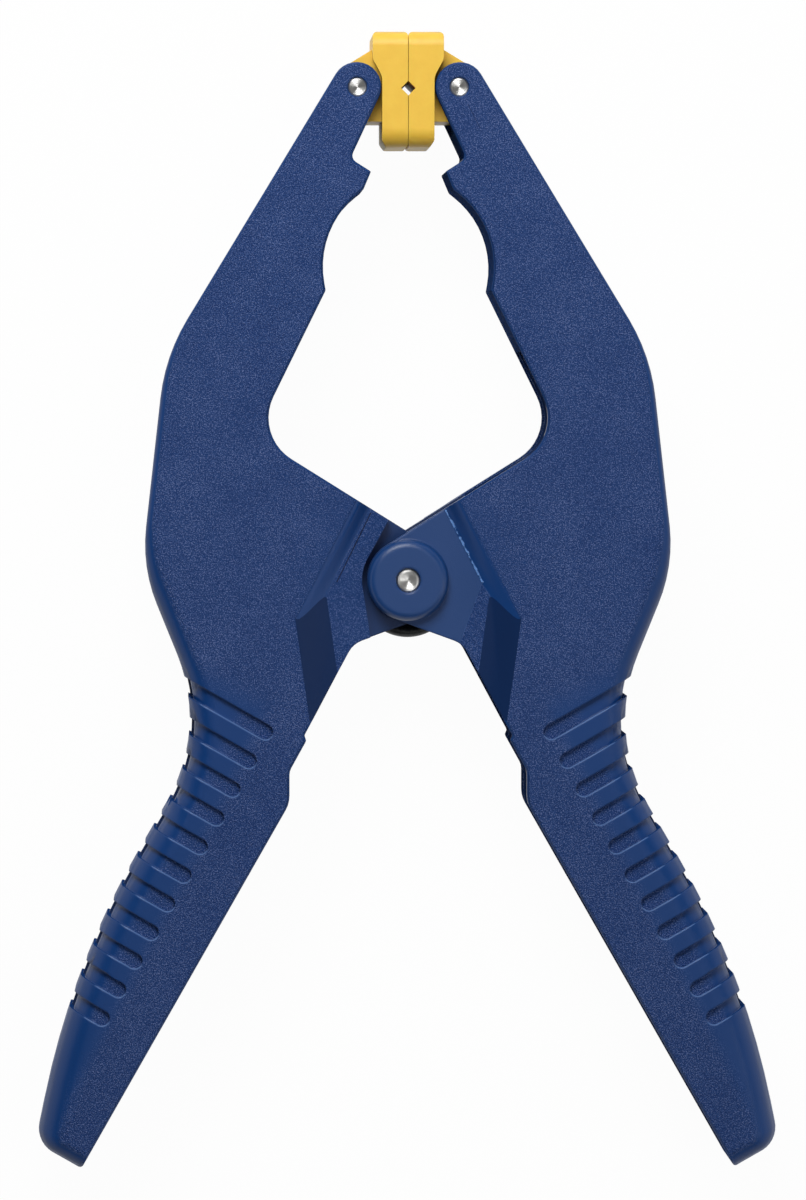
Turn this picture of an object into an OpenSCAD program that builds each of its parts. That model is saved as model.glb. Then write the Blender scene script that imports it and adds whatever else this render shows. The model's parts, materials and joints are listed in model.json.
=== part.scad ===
// Spring clamp: two equal moulded levers, each a jaw and a handle in one piece, set face to
// face so that their ears interleave on one pivot pin. A torsion spring round the pin closes
// the jaws, and each jaw carries a swivelling pad on a pin of its own.
//
// Frame: the clamp lies flat on Z = 0 with its jaws towards +Y and its pivot axis along Z.
// The closed pads meet in the plane X = 0.

/* [Lever walls] */
// Thickness over the two main walls
body_t = 31; // [30:0.5:34]
// Thickness of each main wall
wall_t = 3.2; // [2.6:0.1:3.2]
// Thickness of the web along the outer edge
spine_t = 4.5; // [3.8:0.1:5.2]
// Thickness of the web that closes the handle's end
heel_t = 4.5; // [4:0.1:6]
// Thickness of the rib on the mid plane of the channel
rib_t = 2.4; // [1.6:0.1:3]
// Rounding of the moulding's inner edges
edge_r = 0.6; // [0.4:0.1:0.7]

/* [Jaw] */
// Distance along the clamp from the pivot to the pad pins
jaw_reach = 101.8; // [99:0.1:105]
// Radius of the jaw's round tip
tip_r = 4.9; // [4.5:0.05:5.1]
// Distance of the jaw's outer edge from the pad pin, past the tip's radius
jaw_over = 0.35; // [0:0.05:0.6]
// Slope of the jaw's outer edge from the clamp's long axis
jaw_angle = 31.2; // [30:0.1:32.5]
// Slope of the relieved neck behind the pad
neck_angle = 25; // [23:0.1:27]
// Drop from the pad pin to the bottom of the neck
neck_drop = 14.7; // [14.4:0.1:16]
// Distance of the tooth's point from the pads' plane
tooth_x = 7.7; // [6.5:0.1:9]
// Drop from the pad pin to the tooth's point
tooth_drop = 17.4; // [17:0.1:18.4]
// Radius of the pipe seat
seat_r = 19.1; // [17.5:0.1:19.6]
// Distance of the throat's corner from the clamp's long axis
throat_x = 31.8; // [29:0.1:33]
// Distance along the clamp from the pivot to the throat's corner
throat_y = 29.9; // [28:0.1:32]

/* [Handle] */
// Half the clamp's width at the hips
hip_x = 55.1; // [53:0.1:57]
// Slope of the handle's inner edge from the clamp's long axis
handle_angle = 29.7; // [29:0.1:30.3]
// Distance along the clamp from the pivot to the handles' inner corners
handle_reach = 121.8; // [118:0.1:126]
// Width of the handle at its end
heel_w = 10.9; // [9.5:0.1:12]
// Width of the handle where the swell is widest
swell_w = 22.1; // [20.5:0.1:23]
// Width of the handle at the waist
waist_w = 21.6; // [20.5:0.1:22.5]
// Rounding of the handle's grip edges
grip_r = 6.8; // [5:0.1:7.5]
// Rounding of the body's edges between waist and hip
flank_r = 4.5; // [3:0.1:5.5]
// Rounding of the body's edges between hip and shoulder
hip_r = 1.8; // [0.6:0.1:2.4]

/* [Grip grooves] */
// Number of grooves on each side of a handle
groove_n = 11; // [7:1:11]
// Width of a groove
groove_w = 3.2; // [2.4:0.1:4]
// Distance from groove to groove
groove_pitch = 6.81; // [6.2:0.01:6.9]
// Depth of a groove
groove_depth = 1; // [0.6:0.1:1.3]
// Distance of the grooves' round ends from the handle's inner edge
groove_inset = 10.1; // [7:0.1:11]
// Width of the ridge between the two sides' grooves
ridge_w = 2.6; // [1.6:0.1:4]
// Depth of that ridge below the grip's surface
ridge_drop = 0.45; // [0.2:0.05:0.6]

/* [Pivot] */
// Radius of the ears and of the boss
eye_r = 8.5; // [8:0.1:9]
// Thickness of each ear
ear_t = 2.8; // [2.4:0.1:3]
// Gap between an inner ear and the outer ear that covers it
ear_gap = 0.25; // [0.2:0.05:0.4]
// Width of the spring's room between the inner ears
spring_room = 12.8; // [12.7:0.1:13.2]
// Gap between a boss and the flap that is cut out round it
flap_gap = 1; // [0.8:0.05:1.5]
// Depth of the boss's face below the main wall
boss_drop = 0.3; // [0.1:0.05:0.8]
// Rounding of the boss's rim
rim_r = 1.8; // [1:0.1:2.4]
// Radius of the hub inside the coil
hub_r = 5.2; // [4.6:0.1:5.3]
// Gap between the two levers' hubs
hub_gap = 0.6; // [0.3:0.1:1]
// Diameter of the pivot pin
pivot_d = 4.9; // [4.2:0.1:5.2]
// Depth of the pivot pin's ends below the bosses
pivot_recess = 0.5; // [0.3:0.1:1]
// Radial clearance of a running pin
run_gap = 0.05; // [0.03:0.01:0.08]

/* [Spring] */
// Diameter of the spring wire
wire_d = 2.4; // [2:0.1:2.4]
// Outer radius of the coil
coil_r = 10.25; // [10:0.05:10.4]
// Turns of the coil besides the part between its two legs
coil_turns = 3; // [3:1:3]
// Distance from the first turn's middle to the last one's
coil_len = 9.6; // [9.6:0.1:9.9]
// Gap between the hub and the coil that rests over it
coil_gap = 0.7; // [0.6:0.05:0.9]
// Gap between each leg's end and the web behind it
leg_gap = 0.3; // [0.2:0.05:0.6]

/* [Pads] */
// Thickness of a pad at its middle
pad_t = 5.4; // [5:0.05:5.5]
// Thickness of the pad's head
head_t = 7.35; // [6.8:0.05:8]
// Height of the pad above its pin
pad_up = 11.5; // [10.5:0.1:12.5]
// Length of the pad below its pin
pad_down = 12.4; // [11.5:0.1:13.3]
// Half size of the notch across the gripping face
notch_s = 1.45; // [1:0.05:2]
// Gap between the closed pads
pad_gap = 0.1; // [0.06:0.02:0.3]
// Gap between a pad's back and the jaw's tip
tip_gap = 0.2; // [0.15:0.05:0.4]
// Depth of a pad's sides below the main walls
pad_drop = 0.2; // [0.1:0.05:0.6]
// Thickness of the lug between the jaw's cheeks
lug_t = 22; // [18:0.5:22.4]
// Radius of the lug
lug_r = 5.1; // [4.8:0.1:6]
// Gap on each side of the lug
lug_gap = 0.3; // [0.2:0.05:0.5]
// Diameter of a pad pin
pad_pin_d = 4; // [3.4:0.1:4.4]
// Depth of a pad pin's ends below the main walls
pad_pin_recess = 0.3; // [0.2:0.1:0.8]

/* [Hidden] */

$fn = 96;

blue = [0.16, 0.25, 0.47];
yellow = [0.94, 0.75, 0.24];
steel = [0.78, 0.79, 0.8];
black = [0.13, 0.13, 0.14];

// Reach of a cutter past the surface that it opens
past = 5;
// Reach of a cutter that clears a whole side of the lever
far = 70;
// Greatest distance between a drawn arc and the true one
arc_error = 0.03;

half_t = body_t / 2;

// Levels from the mid plane of the spring's room, the ears, the boss and the channel's walls
inner_ear_in = spring_room / 2;
inner_ear_out = inner_ear_in + ear_t;
outer_ear_in = inner_ear_out + ear_gap;
outer_ear_out = outer_ear_in + ear_t;
boss_top = half_t - boss_drop;
wall_in = half_t - wall_t;

// ---------------------------------------------------------------- plane geometry

function unit(v) = v / norm(v);
function left_of(d) = [-d.y, d.x];
function spin(v, a) = [v.x * cos(a) - v.y * sin(a), v.x * sin(a) + v.y * cos(a)];
function polar(a, r) = [r * cos(a), r * sin(a)];
function mix(a, b, t) = a + (b - a) * t;
function meet(p, d, q, e) = p + d * cross(q - p, e) / cross(d, e);
function turn(d, e) = atan2(cross(d, e), d * e);
function arc(c, r, a, b, n) = [for (k = [0 : n]) c + polar(mix(a, b, k / n), r)];

// An outline is an anticlockwise list of [corner, radius]. Edge i leaves corner i.
function edge_out(c, i) = unit(c[(i + 1) % len(c)][0] - c[i][0]);
function edge_in(c, i) = edge_out(c, (i + len(c) - 1) % len(c));

// The outline with each edge i moved inwards by d[i], and its corner radii to suit
function inset(c, d) = [
  for (i = [0 : len(c) - 1])
    let (
      before = d[(i + len(c) - 1) % len(c)],
      u = edge_in(c, i),
      v = edge_out(c, i),
      p = c[i][0] + left_of(u) * before,
      q = c[i][0] + left_of(v) * d[i],
      way = turn(u, v) > 0 ? -1 : 1
    )
    [meet(p, u, q, v), max(0.05, c[i][1] + way * (before + d[i]) / 2)]
];

// Points round corner i of an inset outline, each [x, y, share of the way round]. They are as
// many as on the outline that it came from, so that rings of several insets can be joined.
function corner_points(c, source, i) =
  let (
    u = edge_in(source, i),
    v = edge_out(source, i),
    a = turn(u, v),
    r = c[i][1],
    start = c[i][0] - u * r * tan(abs(a) / 2),
    centre = start + left_of(u) * r * sign(a),
    step = 2 * acos(1 - arc_error / max(source[i][1], 0.5)),
    n = ceil(abs(a) / step)
  )
  [for (k = [0 : n]) let (p = centre + spin(start - centre, a * k / n)) [p.x, p.y, k / n]];

function corner_centre(c, i) =
  let (u = edge_in(c, i), a = turn(u, edge_out(c, i)))
  c[i][0] + (left_of(u) * sign(a) - u * tan(abs(a) / 2)) * c[i][1];

function flat_points(c, source, i) = [for (p = corner_points(c, source, i)) [p.x, p.y]];
function outline(c) = [for (i = [0 : len(c) - 1]) each flat_points(c, c, i)];

// Slab over an outline, from -half to half, whose edge i is rounded to the radius r[i]
module rounded_slab(c, r, half, steps = 5) {
  function round_at(i, t) = mix(r[(i + len(c) - 1) % len(c)], r[i], t);
  function ring(a, way) =
    let (moved = inset(c, [for (e = r) e * (1 - cos(a))]))
    [
      for (i = [0 : len(c) - 1])
        for (p = corner_points(moved, c, i))
          [p.x, p.y, way * (half - round_at(i, p[2]) * (1 - sin(a)))]
    ];
  rings = concat(
    [for (k = [steps : -1 : 0]) ring(90 * k / steps, -1)],
    [for (k = [0 : steps]) ring(90 * k / steps, 1)]
  );
  n = len(rings[0]);
  m = len(rings);
  sides = [
    for (s = [0 : m - 2])
      for (i = [0 : n - 1])
        let (j = (i + 1) % n, a = s * n, b = a + n)
        each [[a + i, b + i, b + j], [a + i, b + j, a + j]]
  ];
  bottom = [for (i = [0 : n - 1]) i];
  top = [for (i = [n - 1 : -1 : 0]) (m - 1) * n + i];
  polyhedron([for (s = rings) each s], concat([bottom, top], sides));
}

// Prism along a line through p in the direction along, over a profile of [side, height] points
module prism_along(p, along, profile) {
  translate([p.x, p.y, 0])
    rotate([0, 0, atan2(along.y, along.x) + 90])
      rotate([90, 0, 0])
        linear_extrude(2 * far, center = true)
          polygon(profile);
}

// Slab of a plane shape between two levels
module layer(low, high) {
  translate([0, 0, low])
    linear_extrude(high - low)
      children();
}

// ---------------------------------------------------------------- right lever's outline

// The jaw
cheek_in = lug_t / 2 + lug_gap;
pad_face = pad_gap / 2;
pin_x = pad_face + pad_t + tip_gap + tip_r - pad_gap / 2;
pad_pin = [pin_x, jaw_reach];
jaw_dir = [-sin(jaw_angle), cos(jaw_angle)];
jaw_line = pad_pin + polar(jaw_angle, tip_r + jaw_over);
neck_dir = [sin(neck_angle), -cos(neck_angle)];
neck_line = pad_pin - polar(neck_angle, tip_r);
neck = meet(neck_line, neck_dir, [0, jaw_reach - neck_drop], [1, 0]);
tip = meet(jaw_line, jaw_dir, neck_line, neck_dir);
// Radius that keeps the round tip beside the pad pin, midway between the two lines
round_r = tip_r + jaw_over / 2;
tooth = [tooth_x, jaw_reach - tooth_drop];

// The pipe seat is an arc between the tooth's foot and its own
tooth_foot = tooth + [1.6, -3.8];
seat = tooth_foot + [10.1, -7.8];
seat_foot = seat + [-2.35, -12.9];
throat = [throat_x, throat_y];

// The eye: its upper tangent comes from the throat, its lower one falls by eye_slope
eye_slope = 20;
upper_tangent = atan2(throat.y, throat.x) + acos(eye_r / norm(throat));
lower_tangent = 270 - eye_slope;
eye = polar((upper_tangent + lower_tangent) / 2,
            eye_r / cos((lower_tangent - upper_tangent) / 2));

// The handle, by distances along its inner edge and out from it. The edge's line runs this
// far inside the pivot.
handle_line = 1.5;
handle_dir = [sin(handle_angle), -cos(handle_angle)];
handle_out = [cos(handle_angle), sin(handle_angle)];
function on_handle(along, out) = handle_dir * along + handle_out * (out - handle_line);
heel_at = (handle_reach - handle_line * sin(handle_angle)) / cos(handle_angle);
waist_at = 47.8;
groove_at = 41.8;
waist = on_handle(waist_at, waist_w);
toe = on_handle(heel_at, heel_w);

// The swell sits at this share of the way from the waist to the heel, and its arc takes this
// share of the edge from the swell to the toe
swell_place = 0.625;
swell_arc = 0.77;
swell = on_handle(mix(waist_at, heel_at, swell_place), swell_w);
swell_r = swell_arc * norm(toe - swell) / tan(turn(swell - toe, waist - swell) / 2);

// The shoulder edge leans in from the hip by this angle
shoulder_lean = 6.4;
hip_y = 2.7;
hip = [hip_x, hip_y];
shoulder = meet(hip, [-sin(shoulder_lean), cos(shoulder_lean)], jaw_line, jaw_dir);

// The ear's root edge runs outside the handle's line, down to a small ledge. From the sill of
// the ledge a second edge runs on to the bend that leads back to the line.
root_at = 20;
root_out = 4.75;
ledge_at = 38.6;
ledge_out = 4.3;
sill_at = 39.1;
sill_out = 3.4;
bend_at = 46.4;
bend_out = 3.3;
line_at = 52.2;
ledge = on_handle(ledge_at, ledge_out);
root_dir = unit(ledge - on_handle(root_at, root_out));
ear_root = meet(ledge, root_dir, polar(lower_tangent, eye_r), polar(-eye_slope, 1));

EYE = 0;
HEEL = 6;
TOE = 7;
SWELL = 8;
WAIST = 9;
HIP = 10;
SHOULDER = 11;
corners = [
  [eye, eye_r],
  [ear_root, 5],
  [ledge, 0.7],
  [on_handle(sill_at, sill_out), 0.7],
  [on_handle(bend_at, bend_out), 3],
  [on_handle(line_at, 0), 6],
  [on_handle(heel_at, 0), 1],
  [toe, 5.5],
  [swell, swell_r],
  [waist, 36],
  [hip, 33],
  [shoulder, 40],
  [tip, round_r],
  [neck, 1.5],
  [tooth, 0.3],
  [tooth_foot, 0.8],
  [seat, seat_r],
  [seat_foot, 0.8],
  [throat, 10]
];

// Rounding of each edge: the heel's, the grip's, the flank's, the hip's, and a plain one on
// the others
heel_r = 4;
edge_rounds = [
  for (i = [0 : len(corners) - 1])
    i == HEEL ? heel_r
    : i == TOE || i == SWELL ? grip_r
    : i == WAIST ? flank_r
    : i == HIP ? hip_r
    : edge_r
];

// ---------------------------------------------------------------- lever's features

// Fold of the ramp that rises from the ear to the jaw's wall, and the ramp's width
fold = [11.4, 7.05];
fold_dir = [0.452, -0.892];
ramp_w = 4.25;
// Foot of the steeper ramp that rises to the handle's wall, and its width
foot = [15.4, -13.6];
foot_dir = [-0.138, -0.99];
foot_ramp_w = 7.1;
// Distance from a ramp's top to the edge of the channel beside it, and on to the room's edge
ramp_wall = 0.8;
room_wall = 1.2;

fold_out = unit([-fold_dir.y, fold_dir.x]);
foot_out = unit([-foot_dir.y, foot_dir.x]);
ramp_rise = half_t - outer_ear_out;

// Share of the rise at a share of the ramp's width: a soft S
function s_curve(t) = (1 - cos(180 * pow(t, 0.85))) / 2;

// Plan of everything inside the two ramps' tops, reaching past them by a distance
module pivot_zone(reach) {
  zone_fold = fold + fold_out * (ramp_w + reach);
  zone_foot = foot + foot_out * (foot_ramp_w + reach);
  zone_corner = meet(zone_fold, fold_dir, zone_foot, foot_dir);
  polygon([
    zone_corner,
    zone_corner - fold_dir * far,
    [-far, far],
    [-far, -far],
    zone_corner + foot_dir * far
  ]);
}

// Space above the ear, its ramps and whatever lies inside them
module above_ear() {
  top = [[ramp_w + past, half_t], [ramp_w + past, half_t + past], [-far, half_t + past]];
  intersection() {
    prism_along(fold, fold_dir, concat(
      [[-far, outer_ear_out]],
      [for (k = [0 : 8]) [ramp_w * k / 8, outer_ear_out + ramp_rise * s_curve(k / 8)]],
      top
    ));
    prism_along(foot, foot_dir, [
      [-far, outer_ear_out],
      [0, outer_ear_out],
      [foot_ramp_w, half_t],
      [foot_ramp_w + past, half_t],
      [foot_ramp_w + past, half_t + past],
      [-far, half_t + past]
    ]);
  }
}

// Plan of the cut-out in the flap: round the other lever's boss, straight above and below
module flap_cut() {
  upper = 28.7;
  lower = -8.9;
  r = eye_r + flap_gap;
  polygon(concat(
    [polar(lower, r) + polar(lower - 90, far)],
    arc([0, 0], r, lower, upper, 10),
    [polar(upper, r) + polar(upper + 90, far), [-far, far], [-far, -far]]
  ));
}

// Plan of the channel in jaw and handle, open towards the lever's inner edge
channel_drop = 54.5;
channel_top = jaw_reach - channel_drop;
module channel_plan() {
  webs = [
    for (i = [0 : len(corners) - 1])
      i == HEEL ? heel_t : i >= TOE && i <= SHOULDER ? spine_t : 0
  ];
  moved = inset(corners, webs);
  difference() {
    polygon(concat(
      [for (i = [HEEL : SHOULDER]) each flat_points(moved, corners, i)],
      [tip, [-far, jaw_reach], [-far, -far / 2], moved[HEEL][0] - handle_out * past]
    ));
    translate([-far, channel_top])
      square([2 * far, far]);
    pivot_zone(ramp_wall);
  }
}

// Plan of the grooves of a grip
module groove_plan() {
  for (k = [0 : groove_n - 1])
    translate(on_handle(groove_at + groove_pitch * k, groove_inset + groove_w / 2))
      rotate(handle_angle) {
        circle(d = groove_w, $fn = 24);
        translate([0, -groove_w / 2])
          square([far, groove_w]);
      }
}

// Cutter for the grooves: outside the body moved inwards by a depth, between two levels
module grooves(depth, low, high) {
  difference() {
    layer(low, high)
      groove_plan();
    rounded_slab(
      inset(corners, [for (e = edge_rounds) depth]),
      [for (e = edge_rounds) max(0.05, e - depth)],
      half_t - depth
    );
  }
}

// The lever as moulded, before its bores: its outer ear and boss are on the +Z side
module moulding() {
  difference() {
    rounded_slab(corners, edge_rounds, half_t);
    for (side = [-1, 1])
      scale([1, 1, side]) {
        layer(rib_t / 2, wall_in)
          channel_plan();
        above_ear();
        grooves(groove_depth, ridge_w / 2, half_t + past);
      }
    grooves(ridge_drop, -ridge_w, ridge_w);
    layer(-inner_ear_in, outer_ear_in)
      pivot_zone(room_wall);
    layer(-half_t - past, -inner_ear_out)
      flap_cut();
    layer(-cheek_in, cheek_in)
      translate(pad_pin)
        circle(r = fork_r);
  }
}

// Radius about the pad pin that the fork leaves free for the lug
fork_r = tip_r + 4.4;
// Chamfer of a bore's mouth
mouth = 0.25;

// Bore of radius r through everything, with chamfered mouths at two levels
module bore(r, level) {
  cylinder(h = 2 * half_t + 2 * past, r = r, center = true);
  for (side = [0, 180])
    rotate([side, 0, 0])
      translate([0, 0, level - mouth])
        cylinder(h = 2 * mouth, r1 = r, r2 = r + 2 * mouth);
}

// Boss of the outer ear, rooted half an ear deep
boss_step = 0.1;
module boss() {
  r = eye_r - boss_step;
  rotate_extrude()
    polygon(concat(
      [[0, outer_ear_out - ear_t / 2], [r, outer_ear_out - ear_t / 2]],
      arc([r - rim_r, boss_top - rim_r], rim_r, 0, 90, 6),
      [[0, boss_top]]
    ));
}

// Hub on the inner ear, rooted half an ear deep
module hub() {
  translate([0, 0, -inner_ear_in - ear_t / 2])
    cylinder(h = inner_ear_in + ear_t / 2 - hub_gap / 2, r = hub_r);
}

// A lever about its pivot and mid plane, with the outer ear on the +Z side. Its pins sit in
// their bores with the radial clearance pin_gap.
module lever(pin_gap) {
  difference() {
    union() {
      resize([0, 0, body_t])
        moulding();
      boss();
      hub();
    }
    bore(pivot_d / 2 + pin_gap, boss_top);
    translate(pad_pin)
      bore(pad_pin_d / 2, half_t);
  }
}

// ---------------------------------------------------------------- spring

wire_r = wire_d / 2;
coil_mid_r = coil_r - wire_r;
coil_drop = coil_mid_r - wire_r - hub_r - coil_gap;
coil_centre = [0, -coil_drop];
// Each leg ends on the web of the waist, this far round its curve
leg_rest = 187;
leg_end = corner_centre(corners, WAIST)
  + polar(leg_rest, corners[WAIST][1] + spine_t + leg_gap + wire_r);
leg_start_angle = atan2(leg_end.y - coil_centre.y, leg_end.x - coil_centre.x)
  + acos(coil_mid_r / norm(leg_end - coil_centre));
wound = 180 - 2 * leg_start_angle + 360 * coil_turns;
curl_rings = 8;
coil_rings = ceil(wound / 360 * curl_rings);

function coil_point(k) =
  let (p = coil_centre + polar(leg_start_angle + wound * k / coil_rings, coil_mid_r))
  [p.x, p.y, coil_len * (k / coil_rings - 0.5)];
spring_path = concat(
  [[leg_end.x, leg_end.y, -coil_len / 2]],
  [for (k = [0 : coil_rings]) coil_point(k)],
  [[-leg_end.x, leg_end.y, coil_len / 2]]
);

// Distance from point p to the stretch from a to b
function stretch_gap(p, a, b) =
  let (t = max(0, min(1, (p - a) * (b - a) / ((b - a) * (b - a)))))
  norm(p - mix(a, b, t));
spring_gap = min([
  for (i = [0 : len(spring_path) - 1])
    for (j = [0 : len(spring_path) - 2])
      if (abs(i - j) > curl_rings / 2 && abs(i - j - 1) > curl_rings / 2)
        stretch_gap(spring_path[i], spring_path[j], spring_path[j + 1])
]) - wire_d;
echo(least_gap_between_the_turns_of_the_spring_mm = spring_gap);

// Tube along a path that never runs along Z
module tube(path, r, sides = 6) {
  last = len(path) - 1;
  function along(i) = unit(path[min(i + 1, last)] - path[max(i - 1, 0)]);
  function ring(i) =
    let (t = along(i), side = unit(cross([0, 0, 1], t)), up = cross(t, side))
    [for (k = [0 : sides - 1]) path[i] + side * r * cos(360 * k / sides) + up * r * sin(360 * k / sides)];
  walls = [
    for (i = [0 : last - 1])
      for (k = [0 : sides - 1])
        let (a = i * sides, b = a + sides, j = (k + 1) % sides)
        each [[a + k, b + j, a + j], [a + k, b + k, b + j]]
  ];
  first_cap = [for (k = [1 : sides - 2]) [0, k, k + 1]];
  last_cap = [for (k = [1 : sides - 2]) [last * sides, last * sides + k + 1, last * sides + k]];
  polyhedron([for (i = [0 : last]) each ring(i)], concat(first_cap, walls, last_cap));
}

// ---------------------------------------------------------------- pads and pins

pad_half = half_t - pad_drop;
pad_top = jaw_reach + pad_up;
pad_low = jaw_reach - pad_down;
pad_back = pad_face + pad_t - pad_gap / 2;
head_back = pad_face + head_t - pad_gap / 2;
head_low = jaw_reach + 5.8;
waist_up = jaw_reach + 2.2;
notch_y = jaw_reach - 0.2;
gusset_y = pad_top - 3.3;

// Pad of the right jaw about the same origin as the lever
module pad() {
  side = [
    [[pad_face, pad_low], 0.6],
    [[pad_back - 0.9, pad_low], 0.6],
    [[pad_back, pad_low + 1.4], 0.6],
    [[pad_back, waist_up], 3],
    [[head_back, head_low], 2],
    [[head_back, pad_top], 1],
    [[pad_face, pad_top], 0.9]
  ];
  front = [
    [[pad_low, -pad_half], 4],
    [[pad_top, -pad_half], 3],
    [[pad_top, pad_half], 3],
    [[pad_low, pad_half], 4]
  ];
  difference() {
    union() {
      intersection() {
        linear_extrude(2 * pad_half + past, center = true)
          polygon(outline(side));
        rotate([90, 0, 90])
          translate([0, 0, -past])
            linear_extrude(head_back + 2 * past)
              polygon(outline(front));
      }
      linear_extrude(lug_t, center = true)
        lug_plan();
    }
    translate([pad_face, notch_y, 0])
      rotate([0, 0, 45])
        cube([notch_s * sqrt(2), notch_s * sqrt(2), 3 * half_t], center = true);
    translate(pad_pin)
      cylinder(h = 2 * lug_t, r = pad_pin_d / 2 + run_gap, center = true);
  }
}

// Lug: round about the pin, with a gusset up to the pad's head
module lug_plan() {
  from = [head_back - 0.5, gusset_y];
  away = from - pad_pin;
  touch = atan2(away.y, away.x) - acos(lug_r / norm(away));
  low = jaw_reach - 7;
  translate(pad_pin)
    circle(r = lug_r);
  polygon([
    [pad_back - 2, gusset_y],
    [pad_back - 2, low],
    [pad_pin.x - 1, low],
    pad_pin + polar(-60, lug_r),
    pad_pin,
    pad_pin + polar(touch, lug_r),
    from
  ]);
}

// Pin between two levels, with chamfered ends and a turned centre
module pin(d, half) {
  chamfer = 0.3;
  dimple = d / 8;
  rotate_extrude()
    polygon([
      [0, dimple - half],
      [dimple, -half],
      [d / 2 - chamfer, -half],
      [d / 2, chamfer - half],
      [d / 2, half - chamfer],
      [d / 2 - chamfer, half],
      [dimple, half],
      [0, half - dimple]
    ]);
}

// ---------------------------------------------------------------- the clamp

// From the pivot and the mid plane to the clamp's own frame
lowest = min([for (p = outline(corners)) p.y]);
pivot_at = [0, -(lowest + pad_top) / 2, half_t];

module placed() {
  translate(pivot_at)
    children();
}

module turned() {
  translate(pivot_at)
    rotate([0, 180, 0])
      children();
}

module left_lever() {
  color(blue) turned() lever(0);
}

module right_lever() {
  color(blue) placed() lever(run_gap);
}

module pivot_pin() {
  color(steel) placed() pin(pivot_d, boss_top - pivot_recess);
}

module torsion_spring() {
  color(black) placed() tube(spring_path, wire_r);
}

module left_pad() {
  color(yellow) turned() pad();
}

module right_pad() {
  color(yellow) placed() pad();
}

module left_pad_pin() {
  color(steel) turned() translate(pad_pin) pin(pad_pin_d, half_t - pad_pin_recess);
}

module right_pad_pin() {
  color(steel) placed() translate(pad_pin) pin(pad_pin_d, half_t - pad_pin_recess);
}

left_lever();
right_lever();
pivot_pin();
torsion_spring();
left_pad();
right_pad();
left_pad_pin();
right_pad_pin();
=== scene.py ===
"""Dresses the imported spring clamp: resin levers, soft pads, turned pins and a wound spring."""

import json
import logging
import math
from dataclasses import dataclass, field
from enum import Enum, IntEnum
from typing import Any, Sequence

import bmesh
import bpy
from mathutils import Matrix, Vector


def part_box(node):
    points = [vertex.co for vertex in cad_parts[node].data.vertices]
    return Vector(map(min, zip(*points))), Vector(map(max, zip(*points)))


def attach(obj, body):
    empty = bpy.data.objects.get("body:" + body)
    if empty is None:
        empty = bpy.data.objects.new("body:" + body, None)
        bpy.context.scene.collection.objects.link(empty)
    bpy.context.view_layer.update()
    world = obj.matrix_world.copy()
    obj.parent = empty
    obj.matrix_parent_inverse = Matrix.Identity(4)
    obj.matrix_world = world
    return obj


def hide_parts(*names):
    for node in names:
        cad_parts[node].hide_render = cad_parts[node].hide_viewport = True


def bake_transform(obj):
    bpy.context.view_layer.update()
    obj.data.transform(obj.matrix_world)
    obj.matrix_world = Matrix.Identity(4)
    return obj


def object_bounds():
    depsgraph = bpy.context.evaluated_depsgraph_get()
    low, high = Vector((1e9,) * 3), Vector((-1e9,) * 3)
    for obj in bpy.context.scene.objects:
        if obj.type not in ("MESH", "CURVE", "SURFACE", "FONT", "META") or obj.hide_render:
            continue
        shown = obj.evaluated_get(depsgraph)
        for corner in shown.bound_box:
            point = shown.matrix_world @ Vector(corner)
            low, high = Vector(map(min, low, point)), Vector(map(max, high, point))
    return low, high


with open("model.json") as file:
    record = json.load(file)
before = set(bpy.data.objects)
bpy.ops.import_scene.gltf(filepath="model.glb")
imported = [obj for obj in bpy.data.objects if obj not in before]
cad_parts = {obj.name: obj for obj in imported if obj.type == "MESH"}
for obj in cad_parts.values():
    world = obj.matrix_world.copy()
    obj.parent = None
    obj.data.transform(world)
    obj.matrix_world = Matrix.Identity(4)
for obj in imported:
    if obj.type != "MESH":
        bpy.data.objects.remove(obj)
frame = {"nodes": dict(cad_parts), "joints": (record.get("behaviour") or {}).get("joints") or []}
CAD_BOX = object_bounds()

LOG = logging.getLogger("spring_clamp")
Tree = bpy.types.NodeTree
Socket = bpy.types.NodeSocket
MM = 0.001
# Vertices of a CAD mesh that are nearer than this are one
WELD = 0.002 * MM
# Faces of a CAD mesh that lean apart by less than this, in degrees, are one
COPLANAR_DEG = 0.05


# ---------------------------------------------------------------- small tools


def linear_rgba(code: str, alpha: float = 1.0) -> tuple[float, float, float, float]:
    """Turns an sRGB hex colour into linear RGBA.

    Args:
        code: Colour as "#rrggbb".
        alpha: Alpha to go with it.

    Returns:
        The four linear values that a shader socket takes.
    """
    def one(value: int) -> float:
        """Returns one channel of 0 to 255 in linear light."""
        share = value / 255
        return share / 12.92 if share <= 0.04045 else ((share + 0.055) / 1.055) ** 2.4

    text = code.lstrip("#")
    red, green, blue = (one(int(text[i:i + 2], 16)) for i in (0, 2, 4))
    return red, green, blue, alpha


def fill(tree: Tree, node: bpy.types.Node, **inputs: Any) -> None:
    """Sets or links a node's inputs.

    Args:
        tree: Node tree that holds the node.
        node: Node whose inputs are set.
        **inputs: Values or output sockets by input name, with _ for a space, or in0, in1 by place.
    """
    for name, value in inputs.items():
        place = name[2:] if name.startswith("in") and name[2:].isdigit() else None
        socket = node.inputs[int(place)] if place else node.inputs[name.replace("_", " ")]
        if isinstance(value, Socket):
            tree.links.new(value, socket)
        else:
            socket.default_value = value


def add_node(tree: Tree, kind: str, settings: dict[str, Any] | None = None,
             **inputs: Any) -> bpy.types.Node:
    """Adds one node with its settings, input values and links.

    Args:
        tree: Node tree that gets the node.
        kind: Blender's name for the node's type.
        settings: Attributes of the node itself.
        **inputs: Values or output sockets, named as fill takes them.

    Returns:
        The new node.
    """
    node = tree.nodes.new(kind)
    for name, value in (settings or {}).items():
        setattr(node, name, value)
    fill(tree, node, **inputs)
    return node


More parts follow.
